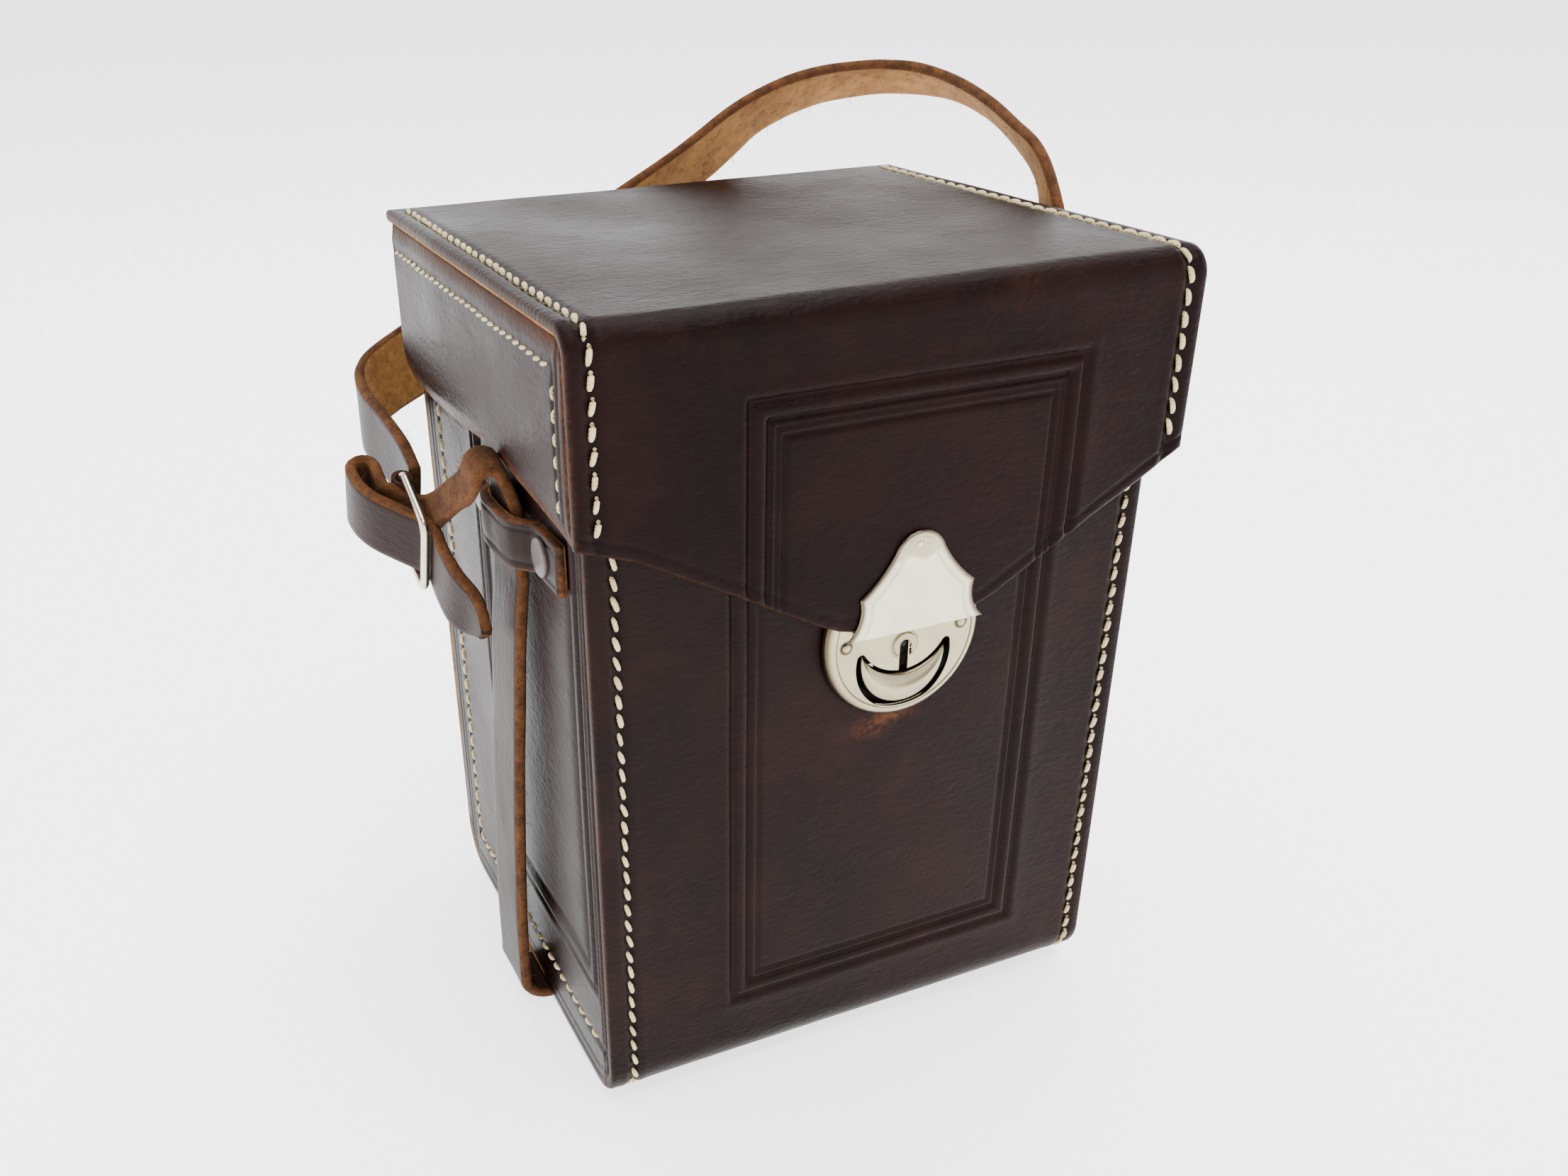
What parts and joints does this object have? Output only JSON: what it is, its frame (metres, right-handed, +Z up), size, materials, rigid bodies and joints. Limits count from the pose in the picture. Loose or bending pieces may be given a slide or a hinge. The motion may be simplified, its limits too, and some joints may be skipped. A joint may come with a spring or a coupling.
{
  "type": "leather camera case",
  "caption": "Boxy leather ever ready case with a hinged lid, a front flap with a hasp and thumb lock, side keepers and a buckled carrying strap that runs under it.",
  "frame": {"origin": "middle of the case's footprint, on the underside of the strap that it stands on", "axes": "+Z up, -Y towards the front with the lock, +X to the right seen from the front"},
  "size_m": [0.1584, 0.1265, 0.1775],
  "materials": {
    "case_leather": "semi-gloss pebbled hide, worn",
    "strap_leather": "semi-gloss hide, suede on the flesh side",
    "lining": "matt pile",
    "nickel": "worn nickel plate",
    "steel": "plain steel",
    "dark_rivet": "japanned, satin"
  },
  "bodies": {
    "case": {"body_wrap": "case_leather", "side_panel_left": "case_leather", "side_panel_right": "case_leather", "welt_strip_left": "case_leather", "welt_strip_right": "case_leather", "lining_wrap": "lining", "lining_side_left": "lining", "lining_side_right": "lining", "hinge_tab": "case_leather", "strap_keeper_left": "case_leather", "strap_keeper_right": "case_leather", "keeper_rivets": "dark_rivet", "strap_lower": "strap_leather", "lock_housing": "nickel", "lock_face_plate": "nickel", "keyhole_bush": "nickel", "lock_back_washer": "steel", "lock_back_cover": "steel", "lock_rivets": "nickel", "key_post": "steel", "lock_spring": "steel"},
    "lid": {"lid_top_flap": "case_leather", "lid_side_left": "case_leather", "lid_side_right": "case_leather", "lid_corner_strip_left": "case_leather", "lid_corner_strip_right": "case_leather", "lid_lining": "lining", "hasp_plate": "nickel", "hasp_back_plate": "steel", "hasp_catch": "steel", "hasp_rivets": "nickel"},
    "thumb": {"thumb_crescent_slide": "nickel", "latch_bolt": "steel"},
    "strap": {"strap_upper": "strap_leather", "strap_tongue": "strap_leather", "buckle_frame": "nickel", "strap_end_loop": "strap_leather"}
  },
  "joints": [
    {"name": "lid_hinge", "type": "hinge", "parent": "case", "child": "lid", "pos_m": [0, 0.0497, 0.1548], "axis": [-1, 0, 0], "range_deg": [0, 95]},
    {"name": "thumb_turn", "type": "hinge", "parent": "case", "child": "thumb", "pos_m": [0.0036, -0.05, 0.08895], "axis": [0, -1, 0], "range_deg": [0, 10], "stiffness_Nm_per_rad": 0.02, "springref_deg": -8.59},
    {"name": "strap_swing", "type": "hinge", "parent": "case", "child": "strap", "pos_m": [0, -0.0152, 0.113], "axis": [-1, 0, 0], "range_deg": [0, 12]}
  ]
}
